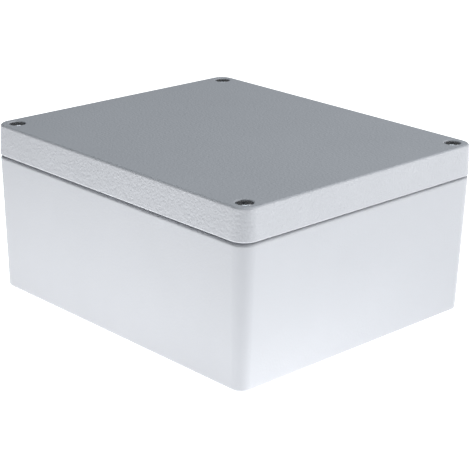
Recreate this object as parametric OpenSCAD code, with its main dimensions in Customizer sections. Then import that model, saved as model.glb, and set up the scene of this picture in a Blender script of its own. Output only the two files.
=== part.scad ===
// Die cast aluminium box: a drafted base and a drafted lid, a gasket in a groove
// that runs inside the corner blocks, four captive lid screws and two earth points.
// Frame: X along the box's length, Y along its width, Z up, origin at the bottom centre.

/* [Box] */
// Length over the lid's lower edge, along X
box_length = 230; // [200:1:300]
// Width over the lid's lower edge, along Y
box_width = 200; // [170:1:260]
// Height from the bottom to the top of the lid
box_height = 110; // [80:1:160]
// Height of the lid above the joint
lid_height = 20; // [18:0.5:30]
// Radius of the vertical corners at the joint
corner_r = 10; // [9:0.5:14]

/* [Casting] */
// Wall of the base, measured at its rim
wall = 5; // [4.8:0.1:6]
// Floor of the base
floor_t = 4.5; // [3.5:0.1:6]
// Top plate of the lid
lid_top_t = 4; // [3:0.1:6]
// Draft of the base walls
base_draft = 1.6; // [1:0.1:2]
// Draft of the lid's sides
lid_draft = 2.6; // [1:0.1:3]
// How far the lid's edge stands past the base's rim
lid_overhang = 0.3; // [0:0.1:0.6]
// Open joint between the rim and the lid's edge
joint_gap = 0.8; // [0.4:0.1:1.2]

/* [Edges] */
// Radius round the lid's top edge
lid_top_r = 1.5; // [0.8:0.1:2.5]
// Radius round the lid's lower edge
lid_edge_r = 1; // [0.4:0.1:1.4]
// Radius round the base's rim
rim_r = 1.8; // [0.8:0.1:2]
// Radius round the base's bottom edge
bottom_r = 2; // [1:0.1:3]
// Radius where the inside walls meet the floor
floor_r = 3; // [1:0.1:3]

/* [Seal] */
// Middle of the seal, measured in from the box's side
seal_inset = 3.7; // [3.6:0.1:3.9]
// Width of the tongue on the base
tongue_w = 1.8; // [1.4:0.1:2]
// Height of the tongue above the rim
tongue_h = 2.8; // [2:0.1:4]
// Width of the groove in the lid
groove_w = 3.2; // [2.8:0.1:3.4]
// Depth of the groove in the lid
groove_depth = 6; // [5:0.1:8]
// Room at each side of the gasket in its groove
gasket_clearance = 0.1; // [0.05:0.05:0.2]
// Wall of the lid inside the groove
lid_inner_wall = 2.3; // [1.8:0.1:3]

/* [Wall fixings] */
// Fixing hole, measured in from the short side
fixing_inset_x = 12; // [11.5:0.5:16]
// Fixing hole, measured in from the long side
fixing_inset_y = 26; // [24:0.5:40]
// Diameter of the fixing hole through the floor
fixing_d = 6.5; // [5:0.1:7]
// Diameter of the shaft above it for the bolt's head
fixing_shaft_d = 12; // [10:0.5:13]
// Thickness of the seat that the bolt's head bears on
fixing_seat_t = 6; // [5:0.5:10]
// Metal between the shaft and the groove
seal_land = 2.6; // [2:0.1:4]

/* [Lid screws] */
// Lid screw, measured in from both sides
screw_inset = 10.9; // [9.5:0.1:12]
// Outer diameter of the screw's thread
screw_d = 5; // [4:0.5:6]
// Rise of the thread in one turn
screw_pitch = 0.8; // [0.7:0.05:1]
// Diameter of the screw's neck
neck_d = 4; // [3:0.1:4.2]
// Length of thread in the base
thread_length = 10; // [8:0.2:12]
// Diameter of the screw's head
head_d = 8.8; // [8:0.1:9.6]
// Height of the screw's head
head_h = 3.3; // [2.8:0.1:4]
// Depth of the head's top below the lid
head_sink = 0.3; // [0:0.1:1.2]
// Diameter of the recess round the head
recess_d = 10.4; // [9.8:0.1:10.6]
// Radius round the recess's mouth
recess_r = 0.8; // [0.3:0.1:0.9]
// Radial room between a thread and its hole
thread_clearance = 0.05; // [0.02:0.01:0.1]
// Diameter of the raised seat round a screw, on the base
seat_d = 12; // [11:0.5:13]

/* [Retaining rings] */
// Outer diameter of the ring that keeps a screw in the lid
ring_d = 8; // [7:0.1:8.4]
// Thickness of the ring
ring_t = 1.5; // [1:0.1:2]
// Radial room between the ring and the shaft it slides in
ring_clearance = 0.2; // [0.1:0.05:0.4]
// How far an undone screw rises past the end of its thread
free_rise = 0.4; // [0.2:0.1:1]

/* [Mounting bosses] */
// Distance between the plate bosses along X
plate_span_x = 160; // [140:1:166]
// Distance between the plate bosses along Y
plate_span_y = 150; // [110:1:156]
// Distance between the two rail bosses along X
rail_span = 140; // [80:1:150]
// Height of a boss above the floor
boss_h = 8; // [5:0.5:12]
// Diameter of a boss at its top
boss_d = 9; // [7:0.5:12]
// Diameter of the hole in a boss, before its thread is cut
boss_hole_d = 3.3; // [2.5:0.1:4.2]

/* [Earth points] */
// Base's earth screw, measured in from the inside of the short wall
earth_inset = 16; // [12:0.5:22]
// Height of the lid's earth boss below the top plate
lid_boss_h = 4; // [2:0.5:6]
// Diameter of an earth boss
earth_boss_d = 13; // [11:0.5:15]
// Length of an earth screw's thread below its washers
earth_thread_length = 6; // [4:0.5:7]
// Outer diameter of the toothed washer
tooth_washer_d = 9.6; // [9:0.1:11]
// Thickness of the toothed washer
tooth_washer_t = 0.8; // [0.5:0.1:1.2]
// Side of the square clamp washer
clamp_side = 10.6; // [10:0.1:12]
// Thickness of the clamp washer
clamp_t = 1.4; // [1:0.1:2]

/* [Hidden] */
$fn = 96;

// levels
joint_z = box_height - lid_height;
rim_z = joint_z - joint_gap;
ceiling_z = box_height - lid_top_t;
tongue_z = rim_z + tongue_h;
groove_z = joint_z + groove_depth;
over = 1; // how far a cut runs past the surface it opens
lap = 0.5; // how far a swept band and the block that fills its middle overlap
hair = 0.0001; // more than a coordinate can be rounded by

// outlines, each measured in from the box's sides
base_lean = rim_z * tan(base_draft);
lid_lean = lid_height * tan(lid_draft);
// a leaning side's rounded edge falls this much short of its sharp corner
lid_edge_loss = lid_edge_r * ((1 + sin(lid_draft)) / cos(lid_draft) - 1);
cavity_lean = (rim_z - floor_t) * tan(base_draft);
cavity_band = cavity_lean + floor_r + lap;
ceiling_r = 2; // where the lid's inside walls meet its top plate
pocket_inset = seal_inset + groove_w / 2 + lid_inner_wall;
pocket_lean = (ceiling_z - joint_z) * tan(lid_draft);
pocket_band = pocket_lean + ceiling_r + lap;
// radius, on the box's sides, of the turns before and after a corner block: wide
// enough for the deepest band to follow them
outer_turn_r = 1 + ceil(max(wall + cavity_band, pocket_inset + pocket_band));
block_x = box_length / 2 - fixing_inset_x - fixing_shaft_d / 2 - seal_land
    - groove_w / 2 + seal_inset;
block_y = box_width / 2 - fixing_inset_y - fixing_shaft_d / 2 - seal_land
    - groove_w / 2 + seal_inset;

// lid screws: heights of a screw's steps
head_top_z = box_height - head_sink;
head_seat_z = head_top_z - head_h;
ring_travel = thread_length + free_rise;
ring_stop_gap = 0.1; // left between a raised ring and the web above it
ring_shaft_z = joint_z + ring_t + ring_travel + ring_stop_gap;
thread_top_z = joint_z - 0.2; // just below the ring
thread_end_z = thread_top_z - thread_length;
screw_hole_end_z = thread_end_z - 3; // room for the tap's point
screw_hole_d = screw_d + 2 * thread_clearance;
free_hole_d = screw_d + 0.4; // hole that a thread passes through freely
tip_chamfer = 0.6;
head_edge_r = 0.5;

// the four corners, in the order of the node names
CORNERS = [[-1, -1], [1, -1], [1, 1], [-1, 1]];
screw_x = box_length / 2 - screw_inset;
screw_y = box_width / 2 - screw_inset;
fixing_x = box_length / 2 - fixing_inset_x;
fixing_y = box_width / 2 - fixing_inset_y;

// earth points
boss_top_z = floor_t + boss_h;
earth_x = -(box_length / 2 - wall - earth_inset);
lid_earth_z = ceiling_z - lid_boss_h;
earth_stack = tooth_washer_t + clamp_t;
earth_hole_run = 0.5; // of the hole past the earth screw's tip
boss_foot_d = boss_d + 1.2; // a boss is cast wider at its foot
tooth_count = 10;
tooth_gap_d = 1.4; // round notch between two teeth
clamp_corner_r = 1;

casting_grey = "#c3c8cc";

// ---- outlines and sweeps ----

// a plain outline, set in from the box's sides: [x, y, corner radius]
function plain_path(inset) = [
    for (c = CORNERS) [
        c.x * (box_length / 2 - inset), c.y * (box_width / 2 - inset), corner_r - inset
    ]
];

// the same with each corner stepped in round its block
function notched_path(inset) =
    let (
        x = box_length / 2 - inset,
        y = box_width / 2 - inset,
        step_x = block_x - inset,
        step_y = block_y - inset,
        out_r = outer_turn_r - inset
    )
    [
        for (c = CORNERS)
            let (
                along_x = [c.x * step_x, c.y * y, out_r],
                block = [c.x * step_x, c.y * step_y, inset],
                along_y = [c.x * x, c.y * step_y, out_r]
            )
            each (c.x * c.y < 0 ? [along_x, block, along_y] : [along_y, block, along_x])
    ];

function xy(p) = [p.x, p.y];
function unit(v) = v / norm(v);
function before(v, i) = xy(v[(i + len(v) - 1) % len(v)]);
function after(v, i) = xy(v[(i + 1) % len(v)]);
function cross2(a, b) = a.x * b.y - a.y * b.x;
function heading(v) = atan2(v.y, v.x);

// what rounding vertex i of an outline needs:
// [arc's start, arc's end, arc's centre, angle turned, +1 for an outward corner]
function corner(v, i) =
    let (
        p = xy(v[i]),
        r = v[i].z,
        u = unit(p - before(v, i)),
        w = unit(after(v, i) - p),
        side = cross2(u, w) > 0 ? 1 : -1,
        turned = acos(u * w),
        back = r * tan(turned / 2),
        start = p - back * u
    )
    [start, p + back * w, start + side * r * [-u.y, u.x], turned, side];

// what the arc at vertex i takes off an outward corner or fills into an inward one;
// the arc is a hair wide of its tangents, so that it can't leave a step where it ends
module corner_piece(v, i) {
    c = corner(v, i);
    beyond = xy(v[i]) + 0.5 * (xy(v[i]) - c[2]);
    difference() {
        polygon([c[0], beyond, c[1], c[2]]);
        translate(c[2]) circle(r = v[i].z + hair);
    }
}

// an outline, counter-clockwise, with each vertex [x, y, r] rounded by a true arc
module rounded_polygon(v) {
    rounded = [for (i = [0:len(v) - 1]) if (v[i].z > 0) i];
    difference() {
        union() {
            polygon([for (p = v) xy(p)]);
            for (i = rounded) if (corner(v, i)[4] < 0) corner_piece(v, i);
        }
        for (i = rounded) if (corner(v, i)[4] > 0) corner_piece(v, i);
    }
}

// carries a section round a path: the section's x runs inwards, its y runs up
module sweep(path) {
    for (i = [0:len(path) - 1]) {
        c = corner(path, i);
        r = path[i].z;
        next = corner(path, (i + 1) % len(path));
        run = next[0] - c[1];
        from = c[4] > 0 ? c[0] : c[1];
        translate(c[2]) rotate(heading(from - c[2])) rotate_extrude(angle = c[3])
            if (c[4] > 0) translate([r, 0]) mirror([1, 0]) children();
            else translate([r, 0]) children();
        translate(c[1]) rotate([90, 0, 90 + heading(run)])
            linear_extrude(norm(run)) children();
    }
}

module at_corners(x, y) {
    for (c = CORNERS) translate([c.x * x, c.y * y]) children();
}

// ---- base ----

// solid outside of the base, leaning in from its rim to its bottom
module base_block() {
    rim = lid_overhang;
    sweep(plain_path(0)) rounded_polygon([
        [rim + base_lean, 0, bottom_r], [corner_r, 0, 0],
        [corner_r, rim_z, 0], [rim, rim_z, rim_r]
    ]);
    linear_extrude(rim_z) rounded_polygon(plain_path(corner_r - lap));
}

// the hollow of the base, which leans with the outside
module base_cavity() {
    sweep(notched_path(wall)) rounded_polygon([
        [cavity_lean, floor_t, floor_r], [cavity_band, floor_t, 0],
        [cavity_band, rim_z + over, 0], [-over * tan(base_draft), rim_z + over, 0]
    ]);
    translate([0, 0, floor_t]) linear_extrude(rim_z + over - floor_t)
        rounded_polygon(notched_path(wall + cavity_band - lap));
}

module tongue() {
    half = tongue_w / 2;
    edge_r = 0.4;
    sweep(notched_path(seal_inset)) rounded_polygon([
        [-half, rim_z - over, 0], [half, rim_z - over, 0],
        [half, tongue_z, edge_r], [-half, tongue_z, edge_r]
    ]);
}

module boss() {
    cylinder(h = boss_h + over, d1 = boss_foot_d, d2 = boss_d);
}

module base_casting() {
    color(casting_grey) difference() {
        union() {
            difference() {
                base_block();
                base_cavity();
            }
            tongue();
            at_corners(screw_x, screw_y) translate([0, 0, rim_z - over])
                cylinder(h = over + joint_gap, d = seat_d);
            translate([0, 0, floor_t - over]) {
                at_corners(plate_span_x / 2, plate_span_y / 2) boss();
                for (s = [-1, 1]) translate([s * rail_span / 2, 0]) boss();
                translate([earth_x, 0]) cylinder(h = boss_h + over, d = earth_boss_d);
            }
        }
        at_corners(screw_x, screw_y) translate([0, 0, screw_hole_end_z])
            cylinder(h = joint_z - screw_hole_end_z + over, d = screw_hole_d);
        at_corners(fixing_x, fixing_y) {
            translate([0, 0, -over]) cylinder(h = fixing_seat_t + 2 * over, d = fixing_d);
            translate([0, 0, fixing_seat_t]) cylinder(h = rim_z, d = fixing_shaft_d);
        }
        translate([0, 0, floor_t]) {
            at_corners(plate_span_x / 2, plate_span_y / 2)
                cylinder(h = boss_h + over, d = boss_hole_d);
            for (s = [-1, 1]) translate([s * rail_span / 2, 0])
                cylinder(h = boss_h + over, d = boss_hole_d);
        }
        translate([earth_x, 0, boss_top_z - earth_thread_length - over])
            cylinder(h = earth_thread_length + 2 * over, d = screw_hole_d);
    }
}

// ---- lid ----

module lid_block() {
    sweep(plain_path(0)) rounded_polygon([
        [-lid_edge_loss, joint_z, lid_edge_r], [corner_r, joint_z, 0],
        [corner_r, box_height, 0], [lid_lean - lid_edge_loss, box_height, lid_top_r]
    ]);
    translate([0, 0, joint_z]) linear_extrude(lid_height)
        rounded_polygon(plain_path(corner_r - lap));
}

module lid_pocket() {
    sweep(notched_path(pocket_inset)) rounded_polygon([
        [-over * tan(lid_draft), joint_z - over, 0], [pocket_band, joint_z - over, 0],
        [pocket_band, ceiling_z, 0], [pocket_lean, ceiling_z, ceiling_r]
    ]);
    translate([0, 0, joint_z - over]) linear_extrude(ceiling_z - joint_z + over)
        rounded_polygon(notched_path(pocket_inset + pocket_band - lap));
}

module groove() {
    half = groove_w / 2;
    sweep(notched_path(seal_inset)) rounded_polygon([
        [-half, joint_z - over, 0], [half, joint_z - over, 0],
        [half, groove_z, 0], [-half, groove_z, 0]
    ]);
}

// recess for the head, hole for the thread and shaft for the ring, at one corner
module screw_bores() {
    rotate_extrude() rounded_polygon([
        [0, head_seat_z, 0], [recess_d / 2, head_seat_z, 0],
        [recess_d / 2, box_height, recess_r], [recess_d / 2 + over, box_height, 0],
        [recess_d / 2 + over, box_height + over, 0], [0, box_height + over, 0]
    ]);
    translate([0, 0, joint_z]) cylinder(h = lid_height, d = free_hole_d);
    translate([0, 0, joint_z - over])
        cylinder(h = ring_shaft_z - joint_z + over, d = ring_d + 2 * ring_clearance);
}

module lid_casting() {
    relief = 8; // depth of the pocket over each fixing shaft
    color(casting_grey) difference() {
        union() {
            difference() {
                lid_block();
                lid_pocket();
            }
            translate([earth_x, 0, lid_earth_z])
                cylinder(h = lid_boss_h + over, d = earth_boss_d);
        }
        groove();
        at_corners(screw_x, screw_y) screw_bores();
        at_corners(fixing_x, fixing_y) translate([0, 0, joint_z - over])
            cylinder(h = relief + over, d = fixing_shaft_d);
        translate([earth_x, 0, lid_earth_z - over])
            cylinder(h = earth_thread_length + over, d = screw_hole_d);
    }
}

module lid_gasket() {
    half = groove_w / 2 - gasket_clearance;
    bead_r = 0.5;
    color("#2b2c2e") sweep(notched_path(seal_inset)) rounded_polygon([
        [-half, tongue_z, bead_r], [half, tongue_z, bead_r],
        [half, groove_z, 0], [-half, groove_z, 0]
    ]);
}

// ---- fasteners ----

// cross recess sunk into a head whose top is at z = 0, tapering to its bottom
module cross_recess() {
    wing = 5; // across two wings
    wing_t = 1.1;
    depth = 2.2;
    bottom_r = 0.9;
    intersection() {
        for (a = [0, 90]) rotate(a) translate([-wing / 2, -wing_t / 2, -depth])
            cube([wing, wing_t, depth + over]);
        translate([0, 0, -depth]) cylinder(h = depth + over, r1 = bottom_r, r2 = wing / 2 + 0.2);
    }
}

// head up to z = 0, a neck down to neck_z and a thread from there to end_z
module cheese_screw(neck_z, end_z) {
    difference() {
        rotate_extrude() rounded_polygon([
            [0, end_z, 0], [screw_d / 2 - tip_chamfer, end_z, 0],
            [screw_d / 2, end_z + tip_chamfer, 0], [screw_d / 2, neck_z, 0],
            [neck_d / 2, neck_z, 0], [neck_d / 2, -head_h, 0],
            [head_d / 2, -head_h, 0], [head_d / 2, 0, head_edge_r], [0, 0, 0]
        ]);
        cross_recess();
    }
}

module lid_screw(c) {
    color("#9a9ea3") translate([c.x * screw_x, c.y * screw_y, head_top_z])
        cheese_screw(thread_top_z - head_top_z, thread_end_z - head_top_z);
}

module retaining_ring(c) {
    edge = 0.25;
    bore_r = neck_d / 2 + thread_clearance;
    color("#e9e6dc") translate([c.x * screw_x, c.y * screw_y, joint_z])
        rotate_extrude() polygon([
            [bore_r, 0], [ring_d / 2 - edge, 0], [ring_d / 2, edge],
            [ring_d / 2, ring_t - edge], [ring_d / 2 - edge, ring_t], [bore_r, ring_t]
        ]);
}

// ---- earth points: each is drawn standing on z = 0 ----

module earth_screw() {
    translate([0, 0, earth_stack + head_h])
        cheese_screw(-head_h - 0.1, earth_hole_run - head_h - earth_stack - earth_thread_length);
}

module tooth_washer() {
    difference() {
        cylinder(h = tooth_washer_t, d = tooth_washer_d);
        translate([0, 0, -over]) cylinder(h = tooth_washer_t + 2 * over, d = free_hole_d);
        for (k = [0:tooth_count - 1]) rotate(k * 360 / tooth_count)
            translate([tooth_washer_d / 2, 0, -over])
                cylinder(h = tooth_washer_t + 2 * over, d = tooth_gap_d);
    }
}

module clamp_washer() {
    translate([0, 0, tooth_washer_t]) difference() {
        linear_extrude(clamp_t) rounded_polygon([
            for (c = CORNERS) [c.x * clamp_side / 2, c.y * clamp_side / 2, clamp_corner_r]
        ]);
        translate([0, 0, -over]) cylinder(h = clamp_t + 2 * over, d = free_hole_d);
    }
}

module on_base_boss() {
    translate([earth_x, 0, boss_top_z]) children();
}

module under_lid_boss() {
    translate([earth_x, 0, lid_earth_z]) rotate([180, 0, 0]) children();
}

module base_earth_screw() { color("#a8a9ab") on_base_boss() earth_screw(); }
module base_earth_tooth_washer() { color("#b9b6ad") on_base_boss() tooth_washer(); }
module base_earth_clamp() { color("#b9b6ad") on_base_boss() clamp_washer(); }
module lid_earth_screw() { color("#a8a9ab") under_lid_boss() earth_screw(); }
module lid_earth_tooth_washer() { color("#b9b6ad") under_lid_boss() tooth_washer(); }
module lid_earth_clamp() { color("#b9b6ad") under_lid_boss() clamp_washer(); }

base_casting();
lid_casting();
lid_gasket();
lid_screw(CORNERS[0]);  // lid_screw_front_left
lid_screw(CORNERS[1]);  // lid_screw_front_right
lid_screw(CORNERS[2]);  // lid_screw_back_right
lid_screw(CORNERS[3]);  // lid_screw_back_left
retaining_ring(CORNERS[0]);  // retaining_ring_front_left
retaining_ring(CORNERS[1]);  // retaining_ring_front_right
retaining_ring(CORNERS[2]);  // retaining_ring_back_right
retaining_ring(CORNERS[3]);  // retaining_ring_back_left
base_earth_screw();
base_earth_tooth_washer();
base_earth_clamp();
lid_earth_screw();
lid_earth_tooth_washer();
lid_earth_clamp();
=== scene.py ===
"""Dresses the die cast aluminium box: a light grey powder coat outside, bare
castings inside, turned steel lid screws with cut threads, and earth screws on
toothed washers."""

import math

import bmesh
import bpy
from mathutils import Matrix, Vector


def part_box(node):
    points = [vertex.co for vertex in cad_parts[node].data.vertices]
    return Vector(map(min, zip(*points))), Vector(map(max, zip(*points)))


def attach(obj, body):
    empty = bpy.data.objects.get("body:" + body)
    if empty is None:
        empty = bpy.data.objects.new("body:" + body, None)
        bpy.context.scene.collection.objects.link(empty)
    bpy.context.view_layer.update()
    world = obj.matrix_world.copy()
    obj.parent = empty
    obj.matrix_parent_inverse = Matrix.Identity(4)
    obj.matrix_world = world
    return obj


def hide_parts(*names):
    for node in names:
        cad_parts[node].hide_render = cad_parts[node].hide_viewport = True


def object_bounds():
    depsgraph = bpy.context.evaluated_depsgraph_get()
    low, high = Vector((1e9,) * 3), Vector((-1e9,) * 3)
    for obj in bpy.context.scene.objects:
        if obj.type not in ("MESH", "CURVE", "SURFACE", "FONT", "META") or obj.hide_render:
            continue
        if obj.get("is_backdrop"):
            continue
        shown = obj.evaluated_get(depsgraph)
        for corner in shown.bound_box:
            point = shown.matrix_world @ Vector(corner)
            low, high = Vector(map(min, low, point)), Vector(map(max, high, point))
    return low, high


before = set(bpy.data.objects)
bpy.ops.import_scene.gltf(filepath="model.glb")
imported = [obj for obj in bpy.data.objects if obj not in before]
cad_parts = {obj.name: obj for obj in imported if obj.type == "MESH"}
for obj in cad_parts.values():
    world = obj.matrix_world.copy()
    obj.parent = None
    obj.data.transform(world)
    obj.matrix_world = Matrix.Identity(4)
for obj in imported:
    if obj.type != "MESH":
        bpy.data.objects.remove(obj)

MM = 0.001
cad_low, cad_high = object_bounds()

# ---------------------------------------------------------------- values, in mm
LENGTH, WIDTH, HEIGHT = (cad_high - cad_low) / MM
CORNER_R = 10.0
FLOOR_T = 4.5  # the base's floor
CEILING_Z = 106.0  # underside of the lid's top plate
HEAD_SEAT_Z = 106.4  # bottom of the recess round a screw's head
THREAD_TOP_Z = 89.8  # where a lid screw's neck ends and its thread begins

BARE_INSET = 2.75  # the coat stops this far in from the box's sides, before the seal
BASE_PEEL, LID_PEEL = 0.08, 0.24  # height of the mounds in each casting's coat

PITCH = 0.8
THREAD_D, ROOT_D, NECK_D = 5.0, 4.1, 4.0
TIP_LEAD = 0.6  # the thread's tip is this much smaller in radius
HEAD_D, HEAD_H, HEAD_EDGE = 8.8, 3.3, 0.5
LID_THREAD = 10.0
EARTH_THREAD = 5.5
EARTH_NECK = 0.1
EARTH_STACK = 2.2  # toothed washer and clamp under an earth screw's head
JOIN = 0.3  # how far the pieces of a screw run into each other

CROSS_REACH, CROSS_HALF = 2.45, 0.62  # a wing's length from the middle, and half its width
CROSS_START = 0.4  # the punch begins this far above the head
CROSS_STEPS = ((2.0, 0.58), (0.5, 0.3))  # how far each step goes down, and how it narrows

MERGE = 0.002  # points closer than this become one

CORNERS = ("front_left", "front_right", "back_right", "back_left")
SCREW_TURN = dict(zip(CORNERS, (62, 27, 14, 71)))  # degrees: how each cross came to stand
EARTH_TURN = 0.4  # radians: how the base's earth screw came to stand
SHARP_DEG = 30  # an edge that bends more than this stays crisp


# ---------------------------------------------------------------- small helpers
def linear(colour):
    """An sRGB hex colour as the linear RGBA that a shader takes."""
    parts = [int(colour[i : i + 2], 16) / 255 for i in (1, 3, 5)]
    return (*(c / 12.92 if c <= 0.04045 else ((c + 0.055) / 1.055) ** 2.4 for c in parts), 1.0)


def add_node(tree, kind, inputs=None, **settings):
    """Adds a node. An input is a value, or the output that feeds it."""
    node = tree.nodes.new(kind)
    for name, value in settings.items():
        setattr(node, name, value)
    for key, value in (inputs or {}).items():
        if isinstance(value, bpy.types.NodeSocket):
            tree.links.new(value, node.inputs[key])
        else:
            node.inputs[key].default_value = value
    return node


def new_finish(name):
    """A material, its nodes and its shader."""
    finish = bpy.data.materials.new(name)
    finish.use_nodes = True
    return finish, finish.node_tree, finish.node_tree.nodes["Principled BSDF"]


def per_metre(size_mm):
    """A texture's scale for a pattern whose features are this wide."""
    return 1 / (size_mm * MM)


def finished(bm, name):
    """A closed mesh, its doubles merged and its faces turned outwards."""
    bmesh.ops.remove_doubles(bm, verts=bm.verts, dist=MERGE * MM)
    bmesh.ops.recalc_face_normals(bm, faces=bm.faces)
    mesh = bpy.data.meshes.new(name)
    bm.to_mesh(mesh)
    bm.free()
    return mesh


def shaded(mesh):
    """Smooth across gentle bends, with sharper edges left crisp."""
    mesh.polygons.foreach_set("use_smooth", [True] * len(mesh.polygons))
    mesh.set_sharp_from_angle(angle=math.radians(SHARP_DEG))
    return mesh


def placed(mesh, name, finish, body, move, stands_for):
    """A piece with its place in its mesh. It rides on a body, and the CAD nodes it stands in for
    are hidden.
    """
    mesh = mesh.copy()
    mesh.transform(move)
    mesh.materials.append(finish)
    piece = bpy.data.objects.new(name, mesh)
    bpy.context.scene.collection.objects.link(piece)
    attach(piece, body)
    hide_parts(*stands_for)


# ---------------------------------------------------------------- finishes
def bare_inside(tree, place):
    """1 where a casting is bare metal, and 0 where it is coated."""
    # distance out from the rectangle through the middles of the corners' arcs, negative
    # inside it; the sides lie CORNER_R out, and 1.0 keeps height from counting
    middles = ((LENGTH / 2 - CORNER_R) * MM, (WIDTH / 2 - CORNER_R) * MM, 1.0)
    folded = add_node(tree, "ShaderNodeVectorMath", {0: place}, operation="ABSOLUTE").outputs[0]
    past = add_node(tree, "ShaderNodeVectorMath", {0: folded, 1: middles},
                    operation="SUBTRACT").outputs[0]
    past_xy = add_node(tree, "ShaderNodeSeparateXYZ", {0: past}).outputs
    outside = add_node(tree, "ShaderNodeVectorMath", {0: past, 1: (0, 0, 0)},
                       operation="MAXIMUM").outputs[0]
    reach = add_node(tree, "ShaderNodeVectorMath", {0: outside},
                     operation="LENGTH").outputs["Value"]
    larger = add_node(tree, "ShaderNodeMath", {0: past_xy[0], 1: past_xy[1]},
                      operation="MAXIMUM").outputs[0]
    within = add_node(tree, "ShaderNodeMath", {0: larger, 1: 0.0}, operation="MINIMUM").outputs[0]
    side = add_node(tree, "ShaderNodeMath", {0: reach, 1: within}, operation="ADD").outputs[0]

    # a ragged edge, where the masking tape let a little powder past
    drift = add_node(tree, "ShaderNodeTexNoise", {
        "Vector": place, "Scale": per_metre(3), "Detail": 2.0}).outputs[0]
    ragged = add_node(tree, "ShaderNodeMath", {0: drift, 1: 0.3 * MM, 2: side},
                      operation="MULTIPLY_ADD").outputs[0]
    inset = add_node(tree, "ShaderNodeMath", {0: ragged, 1: (CORNER_R - BARE_INSET) * MM},
                     operation="LESS_THAN").outputs[0]

    # from just under the floor's face to just over the lid's ceiling
    height = add_node(tree, "ShaderNodeSeparateXYZ", {0: place}).outputs["Z"]
    above = add_node(tree, "ShaderNodeMath", {0: height, 1: (FLOOR_T - 0.1) * MM},
                     operation="GREATER_THAN").outputs[0]
    below = add_node(tree, "ShaderNodeMath", {0: height, 1: (CEILING_Z + 0.1) * MM},
                     operation="LESS_THAN").outputs[0]
    hollow = add_node(tree, "ShaderNodeMath", {0: above, 1: below},
                      operation="MULTIPLY").outputs[0]
    return add_node(tree, "ShaderNodeMath", {0: inset, 1: hollow}, operation="MULTIPLY").outputs[0]


def powder_coated_casting(name, peel_mm):
    """Light grey polyester powder coat on die cast aluminium. The powder melts into
    small mounds, peel_mm high, that break up the light on a raked side; between
    them the skin is semi-gloss. The coat stops short of the seal, and the inside
    is bare metal with a soft, cloudy sheen."""
    finish, tree, shader = new_finish(name)
    place = add_node(tree, "ShaderNodeTexCoord").outputs["Object"]
    bare = bare_inside(tree, place)

    # the coat: mounds about 1.5 mm apart, with a finer grain between them
    mounds = add_node(tree, "ShaderNodeTexNoise", {
        "Vector": place, "Scale": per_metre(1.5), "Detail": 1.0, "Roughness": 0.4}).outputs[0]
    grain = add_node(tree, "ShaderNodeTexNoise", {
        "Vector": place, "Scale": per_metre(0.6), "Detail": 1.0}).outputs[0]
    skin = add_node(tree, "ShaderNodeMath", {0: grain, 1: 0.35, 2: mounds},
                    operation="MULTIPLY_ADD").outputs[0]
    cloud = add_node(tree, "ShaderNodeTexNoise", {
        "Vector": place, "Scale": per_metre(45), "Detail": 2.0}).outputs[0]
    coat = add_node(tree, "ShaderNodeMix", {
        "Factor": cloud, "A": linear("#a8aaaf"), "B": linear("#adafb4")},
        data_type="RGBA").outputs["Result"]

    # the casting: cloudy flow marks, where the metal froze against the die
    flow = add_node(tree, "ShaderNodeTexNoise", {
        "Vector": place, "Scale": per_metre(22), "Detail": 6.0, "Roughness": 0.55,
        "Distortion": 1.2}).outputs[0]
    metal = add_node(tree, "ShaderNodeMix", {
        "Factor": flow, "A": linear("#a9acae"), "B": linear("#d2d4d4")},
        data_type="RGBA").outputs["Result"]
    sheen = add_node(tree, "ShaderNodeMapRange", {
        "Value": flow, "To Min": 0.36, "To Max": 0.56}).outputs[0]
    pores = add_node(tree, "ShaderNodeTexNoise", {
        "Vector": place, "Scale": per_metre(0.9), "Detail": 3.0}).outputs[0]

    # coat outside, casting inside
    colour = add_node(tree, "ShaderNodeMix", {"Factor": bare, "A": coat, "B": metal},
                      data_type="RGBA").outputs["Result"]
    roughness = add_node(tree, "ShaderNodeMix", {"Factor": bare, "A": 0.46, "B": sheen},
                         data_type="FLOAT").outputs["Result"]
    relief = add_node(tree, "ShaderNodeMix", {"Factor": bare, "A": skin, "B": pores},
                      data_type="FLOAT").outputs["Result"]
    bump = add_node(tree, "ShaderNodeBump", {
        "Height": relief, "Strength": 1.0, "Distance": peel_mm * MM}).outputs[0]
    tree.links.new(colour, shader.inputs["Base Color"])
    tree.links.new(bare, shader.inputs["Metallic"])
    tree.links.new(roughness, shader.inputs["Roughness"])
    tree.links.new(bump, shader.inputs["Normal"])
    return finish


def gasket_rubber():
    """Extruded chloroprene rubber cord: near-black, dull, with a faint skin."""
    finish, tree, shader = new_finish("chloroprene rubber")
    place = add_node(tree, "ShaderNodeTexCoord").outputs["Object"]
    skin = add_node(tree, "ShaderNodeTexNoise", {
        "Vector": place, "Scale": per_metre(0.5), "Detail": 3.0}).outputs[0]
    bloom = add_node(tree, "ShaderNodeTexNoise", {
        "Vector": place, "Scale": per_metre(14), "Detail": 2.0}).outputs[0]
    colour = add_node(tree, "ShaderNodeMix", {
        "Factor": bloom, "A": linear("#232426"), "B": linear("#34363a")},
        data_type="RGBA").outputs["Result"]
    bump = add_node(tree, "ShaderNodeBump", {
        "Height": skin, "Strength": 0.3, "Distance": 0.05 * MM}).outputs[0]
    tree.links.new(colour, shader.inputs["Base Color"])
    tree.links.new(bump, shader.inputs["Normal"])
    shader.inputs["Roughness"].default_value = 0.68
    return finish


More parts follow.
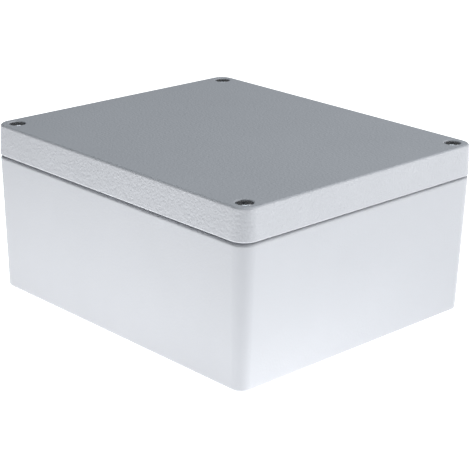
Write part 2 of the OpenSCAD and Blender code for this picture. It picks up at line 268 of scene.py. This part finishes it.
def turned_steel(name, light, dark, roughness):
    """Cold headed and rolled steel: bright flanks, with fine rings from the die."""
    finish, tree, shader = new_finish(name)
    place = add_node(tree, "ShaderNodeTexCoord").outputs["Object"]
    flattened = add_node(tree, "ShaderNodeVectorMath", {0: place, 1: (1, 1, 6)},
                         operation="MULTIPLY").outputs[0]
    rings = add_node(tree, "ShaderNodeTexNoise", {
        "Vector": flattened, "Scale": per_metre(1.5), "Detail": 3.0}).outputs[0]
    colour = add_node(tree, "ShaderNodeMix", {
        "Factor": rings, "A": linear(dark), "B": linear(light)},
        data_type="RGBA").outputs["Result"]
    worn = add_node(tree, "ShaderNodeMapRange", {
        "Value": rings, "To Min": roughness - 0.08, "To Max": roughness + 0.1}).outputs[0]
    bump = add_node(tree, "ShaderNodeBump", {
        "Height": rings, "Strength": 0.15, "Distance": 0.03 * MM}).outputs[0]
    tree.links.new(colour, shader.inputs["Base Color"])
    tree.links.new(worn, shader.inputs["Roughness"])
    tree.links.new(bump, shader.inputs["Normal"])
    shader.inputs["Metallic"].default_value = 1.0
    return finish


def moulded_nylon():
    """Moulded natural nylon: warm white, slightly waxy, with a matt bloom."""
    finish, tree, shader = new_finish("moulded nylon")
    place = add_node(tree, "ShaderNodeTexCoord").outputs["Object"]
    mottle = add_node(tree, "ShaderNodeTexNoise", {
        "Vector": place, "Scale": per_metre(2.5), "Detail": 3.0}).outputs[0]
    colour = add_node(tree, "ShaderNodeMix", {
        "Factor": mottle, "A": linear("#dcd8ca"), "B": linear("#e9e6dc")},
        data_type="RGBA").outputs["Result"]
    bump = add_node(tree, "ShaderNodeBump", {
        "Height": mottle, "Strength": 0.15, "Distance": 0.04 * MM}).outputs[0]
    tree.links.new(colour, shader.inputs["Base Color"])
    tree.links.new(bump, shader.inputs["Normal"])
    shader.inputs["Roughness"].default_value = 0.42
    shader.inputs["IOR"].default_value = 1.53
    return finish


BASE_COAT = powder_coated_casting("powder coat on the base casting", BASE_PEEL)
LID_COAT = powder_coated_casting("powder coat on the lid casting", LID_PEEL)
RUBBER = gasket_rubber()
STAINLESS = turned_steel("stainless steel", "#cbcdd1", "#9a9da3", 0.24)
PLATED = turned_steel("zinc plated steel", "#d6d7da", "#a2a8b2", 0.34)
NYLON = moulded_nylon()

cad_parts["base_casting"].data.materials[0] = BASE_COAT
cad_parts["lid_casting"].data.materials[0] = LID_COAT
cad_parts["lid_gasket"].data.materials[0] = RUBBER
for corner in CORNERS:
    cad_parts[f"retaining_ring_{corner}"].data.materials[0] = NYLON
for casting in ("base", "lid"):
    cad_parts[f"{casting}_earth_tooth_washer"].data.materials[0] = PLATED
    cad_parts[f"{casting}_earth_clamp"].data.materials[0] = PLATED


# ---------------------------------------------------------------- screws
def lathe(bm, outline, steps=48):
    """Turns an outline of (radius, height) points, in mm, once round the Z axis."""
    points = [bm.verts.new((r * MM, 0, z * MM)) for r, z in outline]
    edges = [bm.edges.new(pair) for pair in zip(points, points[1:])]
    bmesh.ops.spin(bm, geom=points + edges, cent=(0, 0, 0), axis=(0, 0, 1),
                   angle=math.tau, steps=steps, use_merge=True, use_duplicate=False)
    bmesh.ops.remove_doubles(bm, verts=bm.verts, dist=MERGE * MM)


def screw_head():
    """Cheese head with its top at z = 0, standing on its neck."""
    bm = bmesh.new()
    neck_r, head_r, neck_low = NECK_D / 2, HEAD_D / 2, -HEAD_H - 2 * JOIN
    lathe(bm, [(0, neck_low), (neck_r, neck_low), (neck_r, -HEAD_H), (head_r, -HEAD_H),
               (head_r, 0), (0, 0)])
    rim = [e for e in bm.edges if all(
        abs(v.co.z) < 1e-6 and abs(v.co.xy.length - head_r * MM) < 1e-6 for v in e.verts)]
    bmesh.ops.bevel(bm, geom=rim, offset=HEAD_EDGE * MM, offset_type="OFFSET", segments=4,
                    profile=0.5, affect="EDGES", material=-1)
    return bm


def cross_punch():
    """The punch that sinks the cross: four tapering wings and a pointed middle."""
    reach, half = CROSS_REACH, CROSS_HALF
    bm = bmesh.new()
    outline = [(half, half), (half, reach), (-half, reach), (-half, half),
               (-reach, half), (-reach, -half), (-half, -half), (-half, -reach),
               (half, -reach), (half, -half), (reach, -half), (reach, half)]
    top = bm.faces.new([bm.verts.new((x * MM, y * MM, CROSS_START * MM)) for x, y in outline])
    for down, narrow in CROSS_STEPS:
        grown = bmesh.ops.extrude_face_region(bm, geom=[top])["geom"]
        corners = [g for g in grown if isinstance(g, bmesh.types.BMVert)]
        bmesh.ops.translate(bm, verts=corners, vec=(0, 0, -down * MM))
        bmesh.ops.scale(bm, verts=corners, vec=(narrow, narrow, 1))
        top = next(g for g in grown if isinstance(g, bmesh.types.BMFace))
    bmesh.ops.recalc_face_normals(bm, faces=bm.faces)
    return bm


def thread(top_z, end_z):
    """A rolled thread: one tooth's outline carried up a helix, cut flat at both
    ends and turned down to a lead at its tip."""
    bm = bmesh.new()
    root, crest = ROOT_D / 2, THREAD_D / 2
    tooth = [(root, 0), (root, 0.12), (crest, 0.42), (crest, 0.5), (root, PITCH)]
    low = end_z - 1.5 * PITCH  # the helix starts below one cut and ends above the other
    turns = math.ceil((top_z - end_z) / PITCH) + 3
    steps = 24 * turns
    points = [bm.verts.new((r * MM, 0, (low + z) * MM)) for r, z in tooth]
    edges = [bm.edges.new(pair) for pair in zip(points, points[1:])]
    bmesh.ops.spin(bm, geom=points + edges, cent=(0, 0, 0), axis=(0, 0, 1),
                   dvec=(0, 0, PITCH * turns * MM / steps), angle=math.tau * turns,
                   steps=steps, use_merge=False, use_duplicate=False)
    bmesh.ops.remove_doubles(bm, verts=bm.verts, dist=2 * MERGE * MM)
    for height, out in ((top_z, 1), (end_z, -1)):
        bmesh.ops.bisect_plane(bm, geom=[*bm.verts, *bm.edges, *bm.faces], dist=1e-7,
                               plane_co=(0, 0, height * MM), plane_no=(0, 0, out),
                               clear_outer=True)
        rim = [e for e in bm.edges if e.is_boundary and all(
            abs(v.co.z - height * MM) < 1e-6 for v in e.verts)]
        bmesh.ops.contextual_create(bm, geom=rim)
    for v in bm.verts:
        widest = (crest - TIP_LEAD) * MM + (v.co.z - end_z * MM)
        if v.co.xy.length > widest:
            v.co.xy *= widest / v.co.xy.length
    return bm


def cut(piece_bm, punch_bm, name):
    """A mesh with the punch's shape taken out of it."""
    body = bpy.data.objects.new(name, finished(piece_bm, name))
    punch = bpy.data.objects.new("punch", finished(punch_bm, "punch"))
    for o in (body, punch):
        bpy.context.scene.collection.objects.link(o)
    sink = body.modifiers.new("cut", "BOOLEAN")
    sink.operation, sink.solver, sink.object = "DIFFERENCE", "EXACT", punch
    view = bpy.context.evaluated_depsgraph_get()
    mesh = bpy.data.meshes.new_from_object(body.evaluated_get(view))
    bpy.data.objects.remove(body)
    bpy.data.objects.remove(punch)
    return mesh


def cheese_screw(name, neck_z, end_z):
    """Head with its top at z = 0, neck down to neck_z, thread from there to end_z."""
    bm = bmesh.new()
    bm.from_mesh(cut(screw_head(), cross_punch(), name))
    neck_r, neck_top, neck_low = NECK_D / 2, -HEAD_H - JOIN, neck_z - JOIN
    lathe(bm, [(0, neck_low), (neck_r, neck_low), (neck_r, neck_top), (0, neck_top)])
    shank = finished(thread(neck_z, end_z), "shank")
    bm.from_mesh(shank)
    bpy.data.meshes.remove(shank)
    bmesh.ops.recalc_face_normals(bm, faces=bm.faces)
    mesh = bpy.data.meshes.new(name)
    bm.to_mesh(mesh)
    bm.free()
    return shaded(mesh)


neck_end = THREAD_TOP_Z - (HEAD_SEAT_Z + HEAD_H)
lid_screw = cheese_screw("lid_screw", neck_end, neck_end - LID_THREAD)
for corner in CORNERS:
    low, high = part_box(f"lid_screw_{corner}")
    middle = (low + high) / 2
    move = Matrix.Translation((middle.x, middle.y, high.z)) @ Matrix.Rotation(
        math.radians(SCREW_TURN[corner]), 4, "Z")
    placed(lid_screw, f"turned_lid_screw_{corner}", STAINLESS,
           f"screw_{corner}", move, [f"lid_screw_{corner}"])

earth_screw = cheese_screw("earth_screw", -HEAD_H - EARTH_NECK,
                           -HEAD_H - EARTH_STACK - EARTH_THREAD)
low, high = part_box("base_earth_screw")
upright = Matrix.Translation(((low.x + high.x) / 2, 0, high.z)) @ Matrix.Rotation(
    EARTH_TURN, 4, "Z")
placed(earth_screw, "plated_base_earth_screw", PLATED, "base",
       upright, ["base_earth_screw"])
low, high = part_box("lid_earth_screw")
head_down = Matrix.Translation(((low.x + high.x) / 2, 0, low.z)) @ Matrix.Rotation(
    math.pi, 4, "X")
placed(earth_screw, "plated_lid_earth_screw", PLATED, "lid",
       head_down, ["lid_earth_screw"])


# ---------------------------------------------------------------- floor, light, camera
FLOOR_RADIUS, FLOOR_DROP = 6.0, 0.0002  # metres; the drop keeps the floor off the base
# the paper's own even glow, then a painted pool of light: extra glow on the floor round the box
FLOOR_GLOW, PAINTED_POOL_GLOW = 1.0, 1.45
POOL_PLACE, POOL_CORE, POOL_REACH = (0.0, -0.26, 0.0), 0.1, 0.48  # metres
ROOM_LEVEL = 0.08
SOFTBOXES = (
    # name, place and size in metres, watts, colour
    ("right softbox", (1.1, 1.0, 0.5), (1.0, 0.8), 15.3, "#ffffff"),
    ("top softbox", (0.1, 0.1, 1.4), (1.1, 0.9), 12.9, "#f4fbff"),
)
SENSOR, LENS = 36.0, 115.556  # mm
CAMERA_PLACE = (659.139, -629.045, 368.476)  # mm
CAMERA_ROUND, CAMERA_UP, CAMERA_ROLL = 46.146, 19.716, 1.0015  # degrees


def studio_floor():
    """A white paper sweep that glows evenly, with a painted pool of light round the box where it
    glows brighter.
    """
    bm = bmesh.new()
    bmesh.ops.create_circle(bm, cap_ends=True, segments=96, radius=FLOOR_RADIUS)
    mesh = bpy.data.meshes.new("studio_floor")
    bm.to_mesh(mesh)
    bm.free()
    finish, tree, shader = new_finish("white paper sweep")
    place = add_node(tree, "ShaderNodeTexCoord").outputs["Object"]
    # painted pool of light: the floor glows brighter near POOL_PLACE and fades out to its even
    # glow
    away = add_node(tree, "ShaderNodeVectorMath", {0: place, 1: POOL_PLACE},
                    operation="DISTANCE").outputs["Value"]
    glow = add_node(tree, "ShaderNodeMapRange", {
        "Value": away, "From Min": POOL_CORE, "From Max": POOL_REACH,
        "To Min": FLOOR_GLOW + PAINTED_POOL_GLOW, "To Max": FLOOR_GLOW},
        interpolation_type="SMOOTHSTEP").outputs[0]
    shader.inputs["Base Color"].default_value = linear("#f4f4f4")
    shader.inputs["Roughness"].default_value = 0.9
    shader.inputs["Specular IOR Level"].default_value = 0.1
    shader.inputs["Emission Color"].default_value = (1, 1, 1, 1)
    tree.links.new(glow, shader.inputs["Emission Strength"])
    mesh.materials.append(finish)
    floor = bpy.data.objects.new("studio_floor", mesh)
    floor.location.z = cad_low.z - FLOOR_DROP
    bpy.context.scene.collection.objects.link(floor)
    floor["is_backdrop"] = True


def softbox(name, place, size, watts, colour):
    """A large soft light, turned to face the box."""
    data = bpy.data.lights.new(name, "AREA")
    data.shape, data.size, data.size_y = "RECTANGLE", *size
    data.energy = watts
    data.color = linear(colour)[:3]
    lamp = bpy.data.objects.new(name, data)
    lamp.location = place
    aim = Vector((0, 0, HEIGHT / 2 * MM)) - Vector(place)
    lamp.rotation_euler = aim.to_track_quat("-Z", "Y").to_euler()
    bpy.context.scene.collection.objects.link(lamp)


def dim_room():
    """A little white light from all round, so that no side goes black."""
    world = bpy.data.worlds.new("dim room")
    bpy.context.scene.world = world
    world.use_nodes = True
    background = world.node_tree.nodes["Background"]
    background.inputs["Color"].default_value = (1, 1, 1, 1)
    background.inputs["Strength"].default_value = ROOM_LEVEL


def camera():
    """A long lens, 46 degrees round from the front and 20 degrees up."""
    data = bpy.data.cameras.new("camera")
    data.sensor_width, data.lens = SENSOR, LENS
    data.clip_end = 50
    eye = bpy.data.objects.new("camera", data)
    turn = (Matrix.Rotation(math.radians(CAMERA_ROUND), 4, "Z")
            @ Matrix.Rotation(math.radians(90 - CAMERA_UP), 4, "X")
            @ Matrix.Rotation(math.radians(CAMERA_ROLL), 4, "Z"))
    eye.matrix_world = Matrix.Translation(Vector(CAMERA_PLACE) * MM) @ turn
    bpy.context.scene.collection.objects.link(eye)
    bpy.context.scene.camera = eye


studio_floor()
dim_room()
for lamp in SOFTBOXES:
    softbox(*lamp)
camera()
bpy.context.scene.view_settings.view_transform = "Standard"

low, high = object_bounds()
